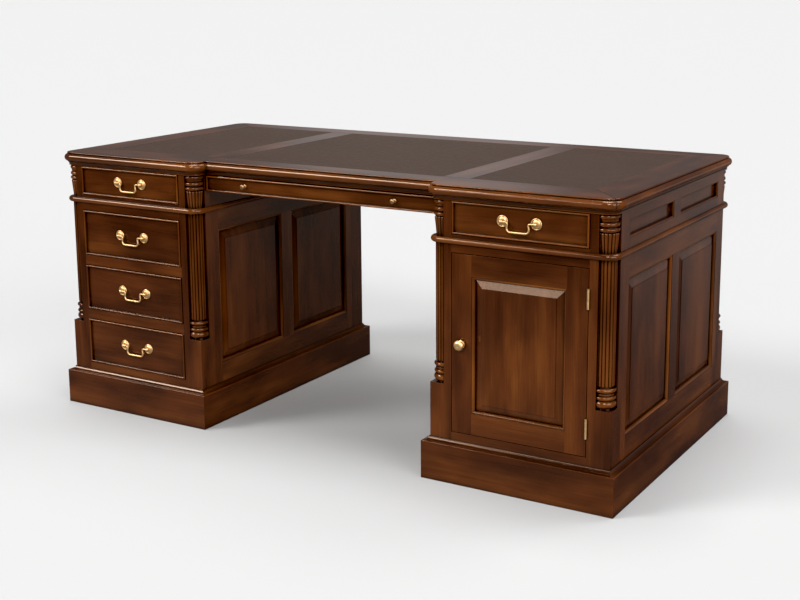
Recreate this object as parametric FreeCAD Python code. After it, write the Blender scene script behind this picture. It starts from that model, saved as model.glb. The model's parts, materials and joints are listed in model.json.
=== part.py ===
"""Partners desk: two pedestals on moulded plinths, a frieze with drawers, and a leather-lined top.

X runs along the desk, -Y is the front, +Z is up, and the origin is on the floor under the middle of
the desk.  Millimetres.  Each piece of wood, leather and brass is a solid of its own, and each named
sub-part goes to one file.
"""
import FreeCAD
import Part
import math
import os

os.makedirs("parts", exist_ok=True)

# ------------------------------------------------------------------ overall sizes
plinth_width = 1800.0       # over both plinths
plinth_depth = 894.0
desk_height = 780.0
pedestal_width = 500.0      # body of one pedestal
plinth_proud = 18.5         # plinth face in front of the body face
plinth_height = 113.0
plinth_cove = 10.5          # hollow at the top of the plinth
astragal_thick = 16.0
astragal_proud = 8.0
frieze_height = 95.0        # between the astragal and the bed moulding
bed_thick = 12.0
top_thick = 27.0
top_overhang = 15.0
nose_swell = 10.5           # how far the round edge of the top swells
nose_bead = 2.2             # radius of the small bead over the nose
nose_quirk = 0.8
centre_setback = 48.0       # the middle of the front stands behind the pedestals

# ------------------------------------------------------------------ carcase
post_width = 62.5
rail_thick = 22.0
board_thick = 18.0
divider_thick = 12.0
column_notch = 40.0         # square rebate that takes a column
column_centre = 29.0        # column axis, in from both faces
block_height = 147.0        # square block under a column
rail_height = 30.0          # between pedestal drawers
bottom_rail = 21.5
top_rail = 21.5
drawer_rows = 3
frieze_rail = 8.5
side_stile = 95.0           # corner to panel opening on the sides
muntin_width = 52.0
side_bottom_rail = 60.0
side_top_rail = 57.0
end_bottom_rail = 26.0      # rails of the frieze ends
end_top_rail = 24.0
bed_width = 62.5
plinth_wall = 30.0          # plinth board behind the body face

# ------------------------------------------------------------------ top
border_end = 111.5          # outer edge to leather
border_front = 128.5
border_back = 93.5
cross_width = 80.0          # between two leathers
cross_inside = 23.5         # how far a cross piece reaches past the pedestal face into the middle
leather_thick = 1.5

# ------------------------------------------------------------------ panels and planted mouldings
strip_width = 8.0
strip_depth = 10.0
strip_fillet = 1.0
panel_thick = 11.0
field_depth = 2.0           # raised field behind the frame face
field_step = 1.5
side_bevel = 24.0
door_bevel = 20.0
flat_panel_thick = 8.0

# ------------------------------------------------------------------ drawers
front_gap = 1.6             # round a drawer front or a door
run_clear = 0.3             # under and beside a drawer
front_thick = 19.0
front_back_set = 3.5        # drawer face behind the carcase face
bead_thick = 5.0
bead_proud = 3.5
bead_let_in = 8.0
drawer_side = 12.0
drawer_bottom = 6.0
bottom_rise = 8.0           # groove above the lower edge of a side
groove_depth = 5.0
side_drop = 4.0             # top of a side under the top of its opening
back_drop = 6.0
drawer_back_gap = 8.0
runner_width = 17.5
runner_thick = 18.0
guide_rise = 24.0
frieze_top_gap = 1.5
centre_top_gap = 3.5        # over the drawers in the middle
centre_front_height = 44.5
centre_runner_thick = 7.0

# ------------------------------------------------------------------ doors
door_member = 56.0
door_thick = 22.0
door_panel_thick = 9.0
hinge_length = 50.0
hinge_from_bottom = 48.5    # end of a hinge to the end of the door opening
hinge_from_top = 50.5
hinge_leaf = 1.2
hinge_leaf_depth = 18.0
knuckle_radius = 3.0
pin_radius = 1.3
pin_clear = 0.3
knuckles = 5
knuckle_gap = 0.2
door_knob_drop = 0.0        # knob under the middle of the door
door_knob_inset = 26.0
stop_width = 8.0
stop_thick = 12.0
shelf_rise = 229.0          # above the floor board
shelf_thick = 16.0
shelf_gap = 2.0
bearer = 15.0

# ------------------------------------------------------------------ brass
handle_pitch = 92.0
handle_rise = 3.0           # pivots above the middle of the drawer front
rose_radius = 15.0
rose_height = 5.0
pivot_out = 10.0            # pivot axis in front of the drawer face
post_head = 5.2
post_stem = 3.5
bail_radius = 2.4
bail_leg = 30.0             # half the width between the legs
bail_drop = 24.5
bail_bend = 9.5
neck_bend = 5.0
leg_slant = 8.0             # degrees that a leg spreads on its way down
bore_clear = 0.3
bail_tip = 3.0              # how far a bail end passes the middle of its post
drawer_knob_radius = 7.0
drawer_knob_length = 16.0
drawer_knob_inset = 135.5   # from the end of a drawer opening in the middle
door_knob_radius = 13.5
door_knob_length = 20.0

# ------------------------------------------------------------------ columns
reed_count = 16
shaft_radius = 24.5
reed_margin = 3.0           # rounded ends of the reeds to the turned rings
reed_lean = 2.5             # upper reeds: half of how far they spread

# ------------------------------------------------------------------ worked out
body_x = plinth_width / 2 - plinth_proud
body_y = plinth_depth / 2 - plinth_proud
inner_x = body_x - pedestal_width
centre_y = body_y - centre_setback
middle_x = body_x - pedestal_width / 2
open_width = pedestal_width - 2 * post_width
top_low = desk_height - top_thick
bed_low = top_low - bed_thick
frieze_low = bed_low - frieze_height
pedestal_top = frieze_low - astragal_thick
floor_top = plinth_height + board_thick
column_block = plinth_height + block_height
bottom_rail_top = plinth_height + bottom_rail
top_rail_low = pedestal_top - top_rail
drawer_height = (top_rail_low - bottom_rail_top - (drawer_rows - 1) * rail_height) / drawer_rows
frieze_rail_top = frieze_low + frieze_rail
side_panel_low = plinth_height + side_bottom_rail
side_panel_high = pedestal_top - side_top_rail
end_panel_low = frieze_low + end_bottom_rail
end_panel_high = bed_low - end_top_rail
leather_half_length = body_x + top_overhang - border_end
leather_front = body_y + top_overhang - border_front
leather_back = body_y + top_overhang - border_back
cross_inner = inner_x - cross_inside
cross_outer = cross_inner + cross_width
centre_front_high = bed_low - centre_top_gap
centre_front_low = centre_front_high - centre_front_height
centre_run = centre_front_low + centre_runner_thick
drawer_knob_x = inner_x - drawer_knob_inset
hinge_low = bottom_rail_top + hinge_from_bottom
hinge_high = top_rail_low - hinge_from_top - hinge_length
door_knob_height = (bottom_rail_top + top_rail_low) / 2 - door_knob_drop
shelf_low = floor_top + shelf_rise
PEDESTALS = {"left": -1, "right": 1}


# ------------------------------------------------------------------ shapes used everywhere
def vec(x, y, z=0.0):
    return FreeCAD.Vector(x, y, z)


def box(x0, x1, y0, y1, z0, z1):
    """Box between two corners, given in either order."""
    low = vec(min(x0, x1), min(y0, y1), min(z0, z1))
    return Part.makeBox(abs(x1 - x0), abs(y1 - y0), abs(z1 - z0), low)


def prism(points, z0, z1):
    """Polygon in plan, raised from z0 to z1."""
    ring = [vec(x, y, z0) for x, y in points]
    return Part.Face(Part.makePolygon(ring + ring[:1])).extrude(vec(0, 0, z1 - z0))


def section(start, *steps):
    """Closed face in the XZ plane.  A step (x, z) is a line, (xm, zm, x, z) an arc through xm, zm."""
    edges = []
    here = start
    for step in steps + (start,):
        end = step[-2:]
        a, b = vec(here[0], 0, here[1]), vec(end[0], 0, end[1])
        if len(step) == 4:
            edges.append(Part.Arc(a, vec(step[0], 0, step[1]), b).toShape())
        elif a.distanceToPoint(b) > 1e-6:
            edges.append(Part.makeLine(a, b))
        here = end
    return Part.Face(Part.Wire(edges))


def turned(face, angle=360.0):
    """Section face revolved about the Z axis."""
    return face.revolve(vec(0, 0), vec(0, 0, 1), angle)


def turn(shape, degrees, axis=(0, 0, 1)):
    out = shape.copy()
    out.rotate(vec(0, 0), vec(*axis), degrees)
    return out


def move(shape, x, y, z=0.0):
    out = shape.copy()
    out.translate(vec(x, y, z))
    return out


def save(name, solids):
    """Write one sub-part: a single solid, or a group of separate ones."""
    solids = [s for shape in solids for s in shape.Solids]
    for s in solids:
        assert s.isValid() and s.Volume > 0, name
    shape = solids[0] if len(solids) == 1 else Part.makeCompound(solids)
    shape.exportStep("parts/%s.step" % name)


# ------------------------------------------------------------------ mouldings that follow a path
def path_runs(corners):
    """Straight runs and corner arcs of a closed outline, counter-clockwise, as (x, y, radius)."""
    runs, arcs = [], []
    n = len(corners)
    points = [vec(x, y) for x, y, r in corners]
    for i, (x, y, radius) in enumerate(corners):
        before = (points[i] - points[i - 1]).normalize()
        after = (points[(i + 1) % n] - points[i]).normalize()
        arcs.append((points[i] - before * radius, points[i] + after * radius, before, after, radius))
    for i in range(n):
        start, end = arcs[i][1], arcs[(i + 1) % n][0]
        along = arcs[i][3]
        runs.append((start, end, along, arcs[i], arcs[(i + 1) % n]))
    return runs, arcs


def outward(direction):
    return vec(direction.y, -direction.x)


def mitre(corner, offset):
    """Where the mitre of a corner crosses a line at this offset from the outline."""
    at, leave, before, after, radius = corner
    a, b = outward(before), outward(after)
    return at + (a + b) * (offset / (1 + a.dot(b)))


def placed_section(face, point, normal):
    """Put a section with its X axis along the outward normal at a point of the outline."""
    out = face.copy()
    out.rotate(vec(0, 0), vec(0, 0, 1), math.degrees(math.atan2(normal.y, normal.x)))
    out.translate(point)
    return out


def moulding(corners, face):
    """Lengths of a moulding round an outline, mitred at sharp corners and turned at round ones."""
    box_in = face.BoundBox
    outer, inner = box_in.XMax, box_in.XMin
    reach = max(abs(outer), abs(inner)) + 1
    runs, arcs = path_runs(corners)
    pieces = []
    for start, end, along, first, last in runs:
        normal = outward(along)
        ends = []
        for corner, point in ((first, start), (last, end)):
            sharp = corner[4] == 0
            ends.append([mitre(corner, d) if sharp else point + normal * d for d in (inner, outer)])
        begin = start - along * reach
        length = (end - start).Length + 2 * reach
        bar = placed_section(face, begin, normal).extrude(along * length)
        plan = [ends[0][0], ends[0][1], ends[1][1], ends[1][0]]
        trim = prism([(p.x, p.y) for p in plan], box_in.ZMin - 1, box_in.ZMax + 1)
        pieces.append(bar.common(trim))
    for at, leave, before, after, radius in arcs:
        if radius:
            centre = at - outward(before) * radius
            sweep = math.degrees(math.acos(max(-1, min(1, before.dot(after)))))
            start = placed_section(face, at, outward(before))
            pieces.append(start.revolve(centre, vec(0, 0, 1), sweep))
    return pieces


def offset_prism(corners, offset, z0, z1):
    """Solid under an outline moved outward by an offset."""
    runs, arcs = path_runs(corners)
    edges = []
    for (start, end, along, first, last) in runs:
        normal = outward(along)
        a = start + normal * offset if first[4] else mitre(first, offset)
        b = end + normal * offset if last[4] else mitre(last, offset)
        edges.append(Part.makeLine(a, b))
        if last[4]:
            at, leave, before, after, radius = last
            centre = at - outward(before) * radius
            bend = (outward(before) + outward(after)).normalize() * (radius + offset)
            c = leave + outward(after) * offset
            edges.append(Part.Arc(b, centre + bend, c).toShape())
    face = Part.Face(Part.Wire(Part.__sortEdges__(edges)))
    face.translate(vec(0, 0, z0))
    return face.extrude(vec(0, 0, z1 - z0))


def moulded_board(corners, face):
    """Board with a moulded edge all round; the section reaches inward from the outline."""
    b = face.BoundBox
    core = offset_prism(corners, b.XMin / 2, b.ZMin, b.ZMax)
    return core.multiFuse(moulding(corners, face)).removeSplitter()


def upright(shape):
    """Lay a shape made in plan against a wall: plan Y becomes Z, and height becomes -Y."""
    return turn(shape, 90, (1, 0, 0))


def rectangle(x0, x1, y0, y1, radius=0.0):
    return [(x0, y0, radius), (x1, y0, radius), (x1, y1, radius), (x0, y1, radius)]


# ------------------------------------------------------------------ places
def face_side(shape, x, direction):
    """Turn a wall made facing -Y so that it faces along X, with its face at x."""
    return move(turn(shape, 90 * direction), x, 0)


def face_end(shape, x, y, end):
    """Place something made facing -Y on the front (end -1) or, turned round, on the rear (end +1)."""
    return move(shape if end < 0 else turn(shape, 180), x, end * y)


class Corner:
    """One vertical corner of a pedestal: u runs inward along X, and v inward along Y."""

    def __init__(self, side, end, outer):
        self.x = side * (body_x if outer else inner_x)
        self.y = end * body_y
        self.sx = -side if outer else side
        self.sy = -end
        self.side, self.end, self.outer = side, end, outer
        self.column = end < 0 or outer

    def block(self, u0, u1, v0, v1, z0, z1):
        return box(self.x + self.sx * u0, self.x + self.sx * u1,
                   self.y + self.sy * v0, self.y + self.sy * v1, z0, z1)

    def place_column(self, shape):
        quarter = {(1, 1): 0, (-1, 1): 90, (-1, -1): 180, (1, -1): 270}[(self.sx, self.sy)]
        return move(turn(shape, quarter), self.x + self.sx * column_centre,
                    self.y + self.sy * column_centre)


CORNERS = [Corner(side, end, outer) for side in (-1, 1) for end in (-1, 1) for outer in (True, False)]


def corners_of(side):
    return [c for c in CORNERS if c.side == side]


# ------------------------------------------------------------------ the top
def top_outline():
    """Face line of the whole desk: rounded at the columns, set back in the middle of the front."""
    r = column_centre
    return [(-body_x, -body_y, r), (-inner_x, -body_y, r), (-inner_x, -centre_y, 0), (inner_x, -centre_y, 0),
            (inner_x, -body_y, r), (body_x, -body_y, r), (body_x, body_y, r), (-body_x, body_y, r)]


ring_reach = 20.0           # how far a moulded edge section reaches in, less than the corner radius


def top_section():
    """A full round nose under a small bead, with a narrow quirk between them."""
    edge = top_overhang - nose_swell
    bead_low = desk_height - 2 * nose_bead
    quirk_low = bead_low - nose_quirk
    return section((-ring_reach, top_low), (edge, top_low),
                   (top_overhang, (top_low + quirk_low) / 2, edge, quirk_low), (edge, bead_low),
                   (edge + nose_bead, desk_height - nose_bead, edge, desk_height),
                   (-ring_reach, desk_height))


def bed_section():
    foot, lip = 2.0, 6.5
    cove_low, cove_high = bed_low + 1.5, top_low - 2.0
    return section((-ring_reach, bed_low), (foot, bed_low), (foot, cove_low),
                   (foot + 1.1, (cove_low + cove_high) / 2 + 1.4, lip, cove_high),
                   (lip, top_low), (-ring_reach, top_low))


def astragal_section():
    return section((-ring_reach, pedestal_top), (0, pedestal_top),
                   (astragal_proud, pedestal_top + astragal_thick / 2, 0, frieze_low),
                   (-ring_reach, frieze_low))


def leathers():
    """Plan rectangles of the three leathers."""
    return {"left": (-leather_half_length, -cross_outer), "centre": (-cross_inner, cross_inner),
            "right": (cross_outer, leather_half_length)}


def frame_plans(x_in, front_in, back_in, cross_in, cross_out):
    """Plans of a mitred frame: two ends, rear, two cross members, and a front of three lengths.

    The front is jointed at the set-back, along the mitre of its inner corner.
    """
    x_far, y_far = body_x + top_overhang, body_y + top_overhang
    far = 1.3
    front = -far * y_far

    def corner(sx, y_in, y_out):
        inner, outer = (sx * x_in, y_in), (sx * x_far, y_out)
        return inner, tuple(i + (o - i) * far for i, o in zip(inner, outer))

    lb, rb = corner(-1, back_in, y_far), corner(1, back_in, y_far)
    plans = [[lb[0], lb[1], rb[1], rb[0]]]
    joint = [(inner_x, -front_in), (inner_x, -centre_y),
             (inner_x - far * top_overhang, -centre_y - far * top_overhang)]
    plans.append([(-x, y) for x, y in joint] + joint[::-1])
    for s, back in ((-1, lb), (1, rb)):
        at, out = corner(s, -front_in, -y_far)
        plans.append([at, out, back[1], back[0]])
        plans.append([at, out, (s * joint[2][0], front)] + [(s * x, y) for x, y in joint[::-1]])
        plans.append([(s * cross_in, -front_in), (s * cross_out, -front_in),
                      (s * cross_out, back_in), (s * cross_in, back_in)])
    return plans


def members(board, plans):
    b = board.BoundBox
    return [board.common(prism(plan, b.ZMin - 1, b.ZMax + 1)) for plan in plans]


def build_top():
    board = moulded_board(top_outline(), top_section())
    save("desk_top_border", members(board, frame_plans(
        leather_half_length, leather_front, leather_back, cross_inner, cross_outer)))
    seat = desk_height - leather_thick
    grounds = []
    for name, (x0, x1) in leathers().items():
        grounds.append(box(x0, x1, -leather_front, leather_back, top_low, seat))
        save("leather_" + name, [box(x0, x1, -leather_front, leather_back, seat, desk_height)])
    save("top_ground_panels", grounds)
    bed = moulded_board(top_outline(), bed_section())
    save("bed_moulding", members(bed, frame_plans(
        body_x - bed_width, centre_y - bed_width, body_y - bed_width, inner_x, inner_x + bed_width)))


# ------------------------------------------------------------------ posts, walls and panels
def post(corner, z0, z1, notch_from):
    """Corner post, rebated for its column from notch_from upward."""
    blank = corner.block(0, post_width, 0, post_width, z0, z1)
    if not corner.column:
        return blank
    return blank.cut(corner.block(0, column_notch, 0, column_notch, notch_from, z1))


def wall_openings():
    half = body_y - side_stile
    return [(-half, -muntin_width / 2), (muntin_width / 2, half)]


def wall_frame(z0, z1, low, high):
    """Stiles, rails and muntin between two posts, made facing -Y."""
    half, opening = body_y - post_width, body_y - side_stile
    parts = [box(s * opening, s * half, 0, rail_thick, z0, z1) for s in (-1, 1)]
    parts += [box(-opening, opening, 0, rail_thick, a, b) for a, b in ((z0, low), (high, z1))]
    parts.append(box(-muntin_width / 2, muntin_width / 2, 0, rail_thick, low, high))
    return parts


def strip_section(width):
    """Planted ovolo: its X axis points out of the opening, and its height is minus the depth."""
    lip = strip_fillet * 1.5
    bend = 0.293 * (width - lip)
    return section((0, -strip_depth), (0, -strip_fillet), (-lip, -strip_fillet),
                   (-width + bend, -strip_fillet - bend, -width, -strip_fillet - width + lip),
                   (-width, -strip_depth))


def planted(x0, x1, z0, z1, width):
    return [upright(s) for s in moulding(rectangle(x0, x1, z0, z1), strip_section(width))]


def raised_panel(x0, x1, z0, z1, bevel, thick):
    """Panel with a bevelled margin that rises to a flat field."""
    a, b = strip_width, strip_width + bevel
    shoulder = field_depth + field_step
    base = box(x0, x1, strip_depth, strip_depth + thick, z0, z1)
    slope = Part.makeWedge(x0 + b, shoulder, z0 + b, z0 + a, x0 + a,
                           x1 - b, strip_depth, z1 - b, z1 - a, x1 - a)
    field = box(x0 + b, x1 - b, field_depth, shoulder, z0 + b, z1 - b)
    return base.multiFuse([slope, field]).removeSplitter()


def platform(side, z0, z1, front, back, slack=0.0):
    """Board across a pedestal between two depths, cut round the corner posts."""
    x0, x1 = side * (inner_x + rail_thick + slack), side * (body_x - rail_thick - slack)
    board = box(x0, x1, front, back, z0, z1)
    reach = post_width + slack
    return board.cut(Part.makeCompound(
        [c.block(0, reach, 0, reach, z0 - 1, z1 + 1) for c in corners_of(side)]))


# ------------------------------------------------------------------ the frieze
def build_frieze():
    frame, panels, astragals = [], [], []
    for c in CORNERS:
        frame.append(post(c, frieze_low, bed_low, frieze_low))
    for side in (-1, 1):
        wall = wall_frame(frieze_low, bed_low, end_panel_low, end_panel_high)
        frame += [face_side(p, side * body_x, side) for p in wall]
        half = body_y - post_width
        frame.append(box(side * inner_x, side * (inner_x + rail_thick), -half, half, frieze_low, bed_low))
        frame.append(box(side * (inner_x + rail_thick), side * (body_x - rail_thick),
                         -divider_thick / 2, divider_thick / 2, frieze_low, bed_low))
        for end in (-1, 1):
            rail = box(-open_width / 2, open_width / 2, 0, rail_thick, frieze_low, frieze_rail_top)
            frame.append(face_end(rail, side * middle_x, body_y, end))
        for x0, x1 in wall_openings():
            flat = box(x0, x1, strip_depth, strip_depth + flat_panel_thick, end_panel_low, end_panel_high)
            pieces = [flat] + planted(x0, x1, end_panel_low, end_panel_high, strip_width / 2)
            panels += [face_side(p, side * body_x, side) for p in pieces]
        astragals.append(moulded_board(astragal_outline(side), astragal_section()))
    frame.append(box(-inner_x, inner_x, -divider_thick / 2, divider_thick / 2, centre_run, bed_low))
    save("frieze_frame", frame)
    save("frieze_end_panels", panels)
    save("astragal_boards", astragals)


def astragal_outline(side):
    """One pedestal's face line, rounded where it has columns."""
    low, high = sorted((side * inner_x, side * body_x))
    radius = {(c.x, c.y): column_centre if c.column else 0 for c in corners_of(side)}
    ring = [(low, -body_y), (high, -body_y), (high, body_y), (low, body_y)]
    return [(x, y, radius[(x, y)]) for x, y in ring]


# ------------------------------------------------------------------ reeded columns
# Rings of the turned ends: height, neck radius, how far the ring swells from its neck, and the
# radius at its foot where that differs.
LOWER_RINGS = [(3, 21.0, 0), (19, 24.0, 4.6, 21.0), (2, 23.0, 0), (10, 24.0, 4.4),
               (2, 22.5, 0), (4, 24.5, 0), (3, 22.5, 0), (10, 24.0, 4.8)]
UPPER_RINGS = [(10, 24.0, 4.8), (2, 22.5, 0), (12, 23.5, 4.6), (2, 22.5, 0),
               (5, 25.0, 0), (11, 24.0, 4.2), (2, 26.5, 0)]


def ring_stack(z, rings):
    """Outline steps up a stack of turned rings, and the height where the stack ends."""
    steps = []
    for height, neck, bulge, *foot in rings:
        start = foot[0] if foot else neck
        steps.append((start, z))
        widest = 0.68 if foot else 0.5
        swell = (neck + bulge, z + height * widest)
        z += height
        steps.append(swell + (neck, z) if bulge else (neck, z))
    return steps, z


def reeding(z0, z1, lean):
    """The reeds on the open side of a column, with rounded ends, and the radius of their axes.

    The reeds lean outwards: at their upper ends they are lean further from the column's axis.
    """
    share = math.sin(math.pi / reed_count)
    low_radius, high_radius = shaft_radius - lean, shaft_radius + lean
    axis = low_radius / (1 + share)
    high_axis = high_radius / (1 + share)
    r, top = low_radius - axis, high_radius - high_axis
    cut = 1 - math.sqrt(0.5)
    capsule = turned(section((0, z0), (r * (1 - cut), z0 + r * cut, r, z0 + r), (top, z1 - top),
                             (top * (1 - cut), z1 - top * cut, 0, z1)))
    tilt = math.degrees(math.atan2(high_axis - axis, z1 - z0))
    one = move(turn(move(capsule, 0, 0, -z0), tilt, (0, 1, 0)), axis, 0, z0)
    step = 360 / reed_count
    shown = reed_count // 2 + 2
    return [turn(one, 225 + (i - (shown - 1) / 2) * step) for i in range(shown)], axis, high_axis


def column(stack_low, rings, shaft_low, shaft_high, reed_low, reed_high, lean):
    """Turned and reeded column, cut to the inner corner of its rebate."""
    steps, stack_high = ring_stack(stack_low, rings)
    body = turned(section((0, stack_low), *steps, (0, stack_high)))
    reeds, axis, high_axis = reeding(reed_low, reed_high, lean)
    flat = math.cos(math.pi / reed_count)
    if lean:
        shaft = Part.makeCone(axis * flat, high_axis * flat, shaft_high - shaft_low, vec(0, 0, shaft_low))
    else:
        shaft = Part.makeCylinder(axis * flat, shaft_high - shaft_low, vec(0, 0, shaft_low))
    whole = shaft.multiFuse([body] + reeds)
    seat = column_notch - column_centre
    free = column_centre + 1
    low, high = min(stack_low, shaft_low), max(stack_high, shaft_high)
    return whole.common(box(-free, seat, -free, seat, low, high)).removeSplitter()


def build_columns():
    rings_high = column_block + sum(r[0] for r in LOWER_RINGS)
    lower = column(column_block, LOWER_RINGS, rings_high, pedestal_top,
                   rings_high + reed_margin, pedestal_top + shaft_radius, 0.0)
    rings_low = bed_low - sum(r[0] for r in UPPER_RINGS)
    upper = column(rings_low, UPPER_RINGS, frieze_low, rings_low,
                   frieze_low - reed_margin, rings_low - reed_margin / 3, reed_lean)
    places = [c for c in CORNERS if c.column]
    save("lower_reeded_columns", [c.place_column(lower) for c in places])
    save("upper_reeded_columns", [c.place_column(upper) for c in places])


# ------------------------------------------------------------------ pedestals
def drawer_lows():
    """Lower edges of the pedestal drawer openings, from the bottom up."""
    return [bottom_rail_top + i * (drawer_height + rail_height) for i in range(drawer_rows)]


def drawer_end(side):
    """The end of a pedestal that has drawers; the other end has the cupboard."""
    return side


def front_rails(levels):
    return [box(-open_width / 2, open_width / 2, 0, rail_thick, a, b) for a, b in levels]


def build_pedestal(name, side):
    frame = [post(c, plinth_height, pedestal_top, column_block) for c in corners_of(side)]
    hinge_post = [c.outer and c.end == -drawer_end(side) for c in corners_of(side)].index(True)
    for z in (hinge_low, hinge_high):
        pocket = face_end(hinge_plate(z, open_width / 2, 1, 0), side * middle_x, body_y, -drawer_end(side))
        frame[hinge_post] = frame[hinge_post].cut(pocket)
    lows = drawer_lows()
    ends = [(plinth_height, bottom_rail_top), (top_rail_low, pedestal_top)]
    between = [(z - rail_height, z) for z in lows[1:]]
    frame += [face_end(r, side * middle_x, body_y, drawer_end(side)) for r in front_rails(ends + between)]
    frame += [face_end(r, side * middle_x, body_y, -drawer_end(side)) for r in front_rails(ends)]
    stop_x = -open_width / 2
    stop = box(stop_x, stop_x + stop_width, door_thick + run_clear, door_thick + run_clear + stop_thick,
               bottom_rail_top, top_rail_low)
    frame.append(face_end(stop, side * middle_x, body_y, -drawer_end(side)))
    wall = wall_frame(plinth_height, pedestal_top, side_panel_low, side_panel_high)
    for x, direction in ((side * body_x, side), (side * inner_x, -side)):
        frame += [face_side(p, x, direction) for p in wall]
    save(name + "_pedestal_frame", frame)


def build_side_panels():
    pieces = []
    for x0, x1 in wall_openings():
        pieces.append(raised_panel(x0, x1, side_panel_low, side_panel_high, side_bevel, panel_thick))
        pieces += planted(x0, x1, side_panel_low, side_panel_high, strip_width)
    panels = []
    for side in (-1, 1):
        for x, direction in ((side * body_x, side), (side * inner_x, -side)):
            panels += [face_side(p, x, direction) for p in pieces]
    save("raised_side_panels", panels)


def build_boards():
    """Floors, tops, middle partitions, and the shelf and its bearers in each cupboard."""
    boards = []
    for side in (-1, 1):
        reach = body_y - rail_thick
        boards.append(platform(side, plinth_height, floor_top, -reach, reach))
        boards.append(platform(side, pedestal_top - board_thick, pedestal_top, -reach, reach))
        boards.append(box(side * (inner_x + rail_thick), side * (body_x - rail_thick),
                          -divider_thick / 2, divider_thick / 2, floor_top, pedestal_top - board_thick))
        door_end = -drawer_end(side)
        near, far = door_end * divider_thick / 2, door_end * (body_y - post_width)
        boards.append(platform(side, shelf_low, shelf_low + shelf_thick,
                               near, door_end * (body_y - column_notch), shelf_gap))
        for wall in (inner_x + rail_thick, body_x - rail_thick - bearer):
            boards.append(box(side * wall, side * (wall + bearer), near, far, shelf_low - bearer, shelf_low))
    save("pedestal_boards", boards)


def runner_pair(opening_low, under):
    """Runners and guides of one pedestal-wide drawer, made facing -Y, for a drawer on x = 0."""
    back = body_y - divider_thick / 2
    half, wall = open_width / 2, pedestal_width / 2 - rail_thick
    low = max(under, opening_low - runner_thick)
    parts = []
    for s in (-1, 1):
        parts.append(box(s * (half - runner_width), s * half, rail_thick, back, low, opening_low))
        parts.append(box(s * half, s * wall, post_width, back, low, opening_low + guide_rise))
    return parts


def build_runners():
    parts = []
    for side in (-1, 1):
        for low in drawer_lows():
            pair = runner_pair(low, floor_top)
            parts += [face_end(p, side * middle_x, body_y, drawer_end(side)) for p in pair]
        for end in (-1, 1):
            pair = runner_pair(frieze_rail_top, frieze_low)
            parts += [face_end(p, side * middle_x, body_y, end) for p in pair]
        front = centre_y - front_back_set - front_thick - front_gap
        rear = body_y - front_back_set - front_thick - front_gap
        parts.append(box(side * (inner_x - runner_width), side * inner_x, -front, rear,
                         centre_front_low, centre_run))
    save("drawer_runners", parts)


def build_plinths():
    lip = plinth_height - plinth_cove
    face = section((-plinth_wall, 0), (plinth_proud, 0), (plinth_proud, lip - 1.2),
                   (plinth_proud - 0.35, lip - 0.35, plinth_proud - 1.2, lip), (plinth_proud - 3.0, lip),
                   (plinth_proud - 11.0, lip + 2.6, 2.5, plinth_height - 1.0), (2.5, plinth_height),
                   (-plinth_wall, plinth_height))
    boards = []
    for side in (-1, 1):
        x0, x1 = sorted((side * inner_x, side * body_x))
        boards += moulding(rectangle(x0, x1, -body_y, body_y), face)
    save("plinths", boards)


# ------------------------------------------------------------------ doors and hinges, made facing -Y
hinge_axis_out = knuckle_radius + 0.4


def hinge_axis_x():
    return open_width / 2 - front_gap / 2


def hinge_plate(z, edge, direction, start):
    """Leaf let into the edge at x = edge, on the side that the direction gives."""
    return box(edge, edge + direction * hinge_leaf, start, hinge_leaf_depth, z, z + hinge_length)


def hinge_leaf_solid(z, edge, direction, first, bore, gap):
    """Leaf with every second knuckle, from the first one up."""
    x, y = hinge_axis_x(), -hinge_axis_out
    clear = knuckle_radius + 0.3 - hinge_axis_out
    parts = [hinge_plate(z, edge, direction, max(clear, 0.0) + 0.2)]
    step = hinge_length / knuckles
    for i in range(first, knuckles, 2):
        low, high = z + i * step + gap, z + (i + 1) * step - gap
        parts.append(Part.makeCylinder(knuckle_radius, high - low, vec(x, y, low)))
        parts.append(box(edge, edge + direction * hinge_leaf, y, hinge_leaf_depth / 2, low, high))
    leaf = parts[0].multiFuse(parts[1:])
    return leaf.cut(Part.makeCylinder(bore, hinge_length + 2, vec(x, y, z - 1))).removeSplitter()


def build_hinges():
    fixed = []
    for side in (-1, 1):
        for z in (hinge_low, hinge_high):
            pin = Part.makeCylinder(pin_radius, hinge_length, vec(hinge_axis_x(), -hinge_axis_out, z))
            leaf = hinge_leaf_solid(z, open_width / 2, 1, 0, pin_radius, 0.0)
            fixed += [face_end(p, side * middle_x, body_y, -drawer_end(side)) for p in (leaf, pin)]
    save("door_hinge_fixed_leaves", fixed)


def build_door(name, side):
    def place(shapes):
        return [face_end(s, side * middle_x, body_y, -drawer_end(side)) for s in shapes]

    half = open_width / 2 - front_gap
    low, high = bottom_rail_top + front_gap, top_rail_low - front_gap
    x, z0, z1 = half - door_member, low + door_member, high - door_member
    stiles = [box(s * x, s * half, 0, door_thick, low, high) for s in (-1, 1)]
    rails = [box(-x, x, 0, door_thick, a, b) for a, b in ((low, z0), (z1, high))]
    leaves = []
    for z in (hinge_low, hinge_high):
        stiles[1] = stiles[1].cut(hinge_plate(z, half, -1, 0))
        leaves.append(hinge_leaf_solid(z, half, -1, 1, pin_radius + pin_clear, knuckle_gap))
    save(name + "_door_frame", place(stiles + rails + planted(-x, x, z0, z1, strip_width)))
    save(name + "_door_panel", place([raised_panel(-x, x, z0, z1, door_bevel, door_panel_thick)]))
    save(name + "_door_hinge_leaves", place(leaves))
    knob = move(upright(turned_knob(door_knob_radius, door_knob_length)), door_knob_inset - half, 0, door_knob_height)
    save(name + "_door_knob", place([knob]))


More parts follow.
